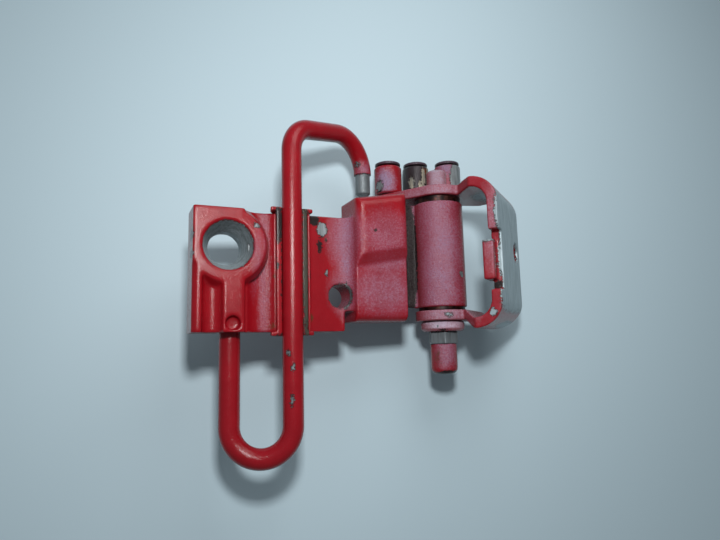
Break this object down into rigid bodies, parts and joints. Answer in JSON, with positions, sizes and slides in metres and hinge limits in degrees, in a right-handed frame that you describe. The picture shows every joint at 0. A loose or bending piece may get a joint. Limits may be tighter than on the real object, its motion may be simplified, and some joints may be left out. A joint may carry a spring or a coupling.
{
  "type": "car door hinge",
  "caption": "Painted steel car door hinge: a forged leaf with a barrel, a bent spring rod that checks the door on rollers, and a pressed bracket that swings on the pin.",
  "frame": {"origin": "centre of the leaf's bolt hole on the leaf's mounting face", "axes": "+X along the leaf from the bolt hole towards the pin, +Z along the pin as it stands on the car, -Y out of the mounting face towards the side that shows"},
  "size_m": [0.1628, 0.0681, 0.1583],
  "materials": {
    "red_paint": "semi-gloss body paint, chipped at edges",
    "bare_steel": "dull bare steel",
    "dark_steel": "dark oiled steel",
    "black_plastic": "matte moulded plastic under overspray",
    "bronze": "dull bearing bronze"
  },
  "bodies": {
    "leaf_half": {"hinge_leaf": "red_paint", "upper_bush": "bronze", "lower_bush": "bronze", "check_rod": "red_paint", "rod_saddle": "black_plastic"},
    "bracket_half": {"door_bracket": "red_paint", "hinge_pin": "red_paint", "pin_collar": "red_paint", "pin_nut": "bare_steel", "pin_cap": "red_paint", "first_rivet": "dark_steel", "second_rivet": "dark_steel", "third_rivet": "dark_steel"},
    "first_roller_body": {"first_roller": "bare_steel"},
    "second_roller_body": {"second_roller": "bare_steel"},
    "third_roller_body": {"third_roller": "bare_steel"}
  },
  "joints": [
    {"name": "bracket_swing", "type": "hinge", "parent": "leaf_half", "child": "bracket_half", "pos_m": [0.1056, -0.009, 0.00075], "axis": [0, 0, 1], "range_deg": [-4, 74]},
    {"name": "first_roller_spin", "type": "hinge", "parent": "bracket_half", "child": "first_roller_body", "pos_m": [0.08695, 0.00839, 0.0425], "axis": [0, 0, 1], "continuous": true},
    {"name": "second_roller_spin", "type": "hinge", "parent": "bracket_half", "child": "second_roller_body", "pos_m": [0.10827, 0.01636, 0.047], "axis": [0, 0, 1], "continuous": true},
    {"name": "third_roller_spin", "type": "hinge", "parent": "bracket_half", "child": "third_roller_body", "pos_m": [0.12394, 0.00871, 0.047], "axis": [0, 0, 1], "continuous": true}
  ]
}
